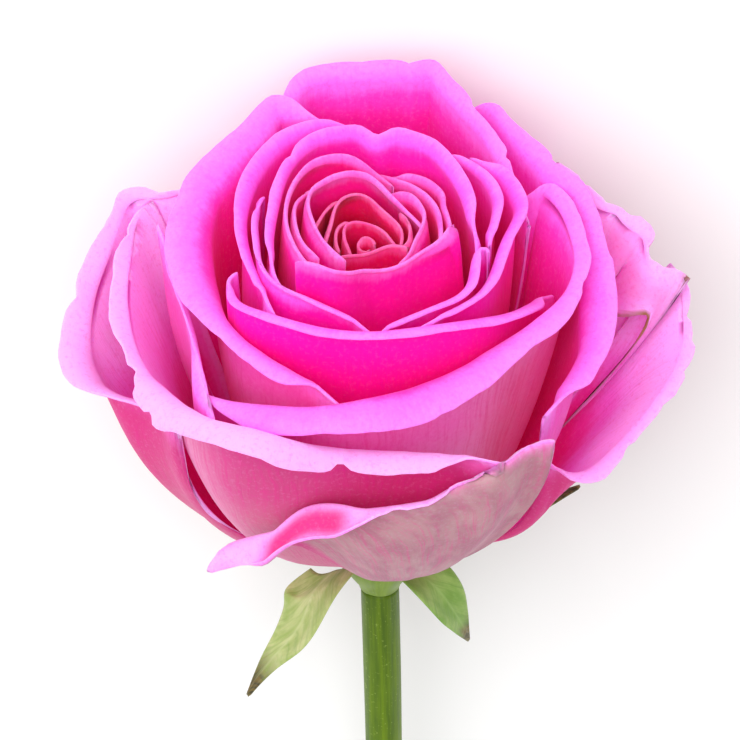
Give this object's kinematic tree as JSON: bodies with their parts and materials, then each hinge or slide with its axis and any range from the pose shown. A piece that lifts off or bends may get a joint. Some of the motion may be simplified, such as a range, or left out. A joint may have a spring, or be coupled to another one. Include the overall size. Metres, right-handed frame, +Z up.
{
  "type": "cut rose",
  "caption": "Pink cut rose lying on its side: an open bloom of spiralling petals with rolled rims, reflexed green sepals and a short plain stem.",
  "frame": {"origin": "centre of the bounding box's base, on the surface that the rose lies on", "axes": "+Z up from the surface, +Y along the stem from its cut end towards the bloom, +X to the right seen from above with the bloom at the top"},
  "size_m": [0.0962, 0.19, 0.0815],
  "materials": {
    "petal_heart": "satin petal, deep pink",
    "petal_inner": "satin petal, deep pink with lilac pink rims",
    "petal_middle": "velvety petal, strong pink with lilac pink rims",
    "petal_outer": "velvety petal, lilac pink",
    "petal_guard": "velvety petal, lilac pink, paler veined back",
    "sepal": "matte leafy green with a brown tip",
    "receptacle": "smooth green",
    "stem": "smooth waxy green"
  },
  "bodies": {
    "root": {"petal_heart_1": "petal_heart", "petal_heart_2": "petal_heart", "petal_heart_3": "petal_heart", "petal_heart_4": "petal_heart", "petal_heart_5": "petal_heart", "petal_heart_6": "petal_heart", "petal_inner_1": "petal_inner", "petal_inner_2": "petal_inner", "petal_inner_3": "petal_inner", "petal_inner_4": "petal_inner", "petal_inner_5": "petal_inner", "petal_inner_6": "petal_inner", "petal_inner_7": "petal_inner", "petal_middle_1": "petal_middle", "petal_middle_2": "petal_middle", "petal_middle_3": "petal_middle", "petal_middle_4": "petal_middle", "petal_middle_5": "petal_middle", "petal_middle_6": "petal_middle", "petal_middle_7": "petal_middle", "petal_outer_left": "petal_outer", "petal_outer_back": "petal_outer", "petal_outer_front": "petal_outer", "petal_outer_right": "petal_outer", "petal_outer_left_2": "petal_outer", "petal_guard_front": "petal_guard", "petal_guard_left": "petal_guard", "petal_guard_low": "petal_guard", "petal_guard_right": "petal_guard", "petal_guard_right_2": "petal_guard", "petal_guard_back_left": "petal_guard", "petal_guard_back": "petal_guard", "petal_guard_back_right": "petal_guard", "sepal_left": "sepal", "sepal_front_right": "sepal", "sepal_right": "sepal", "sepal_back": "sepal", "sepal_back_left": "sepal", "receptacle": "receptacle", "stem": "stem"}
  },
  "joints": []
}
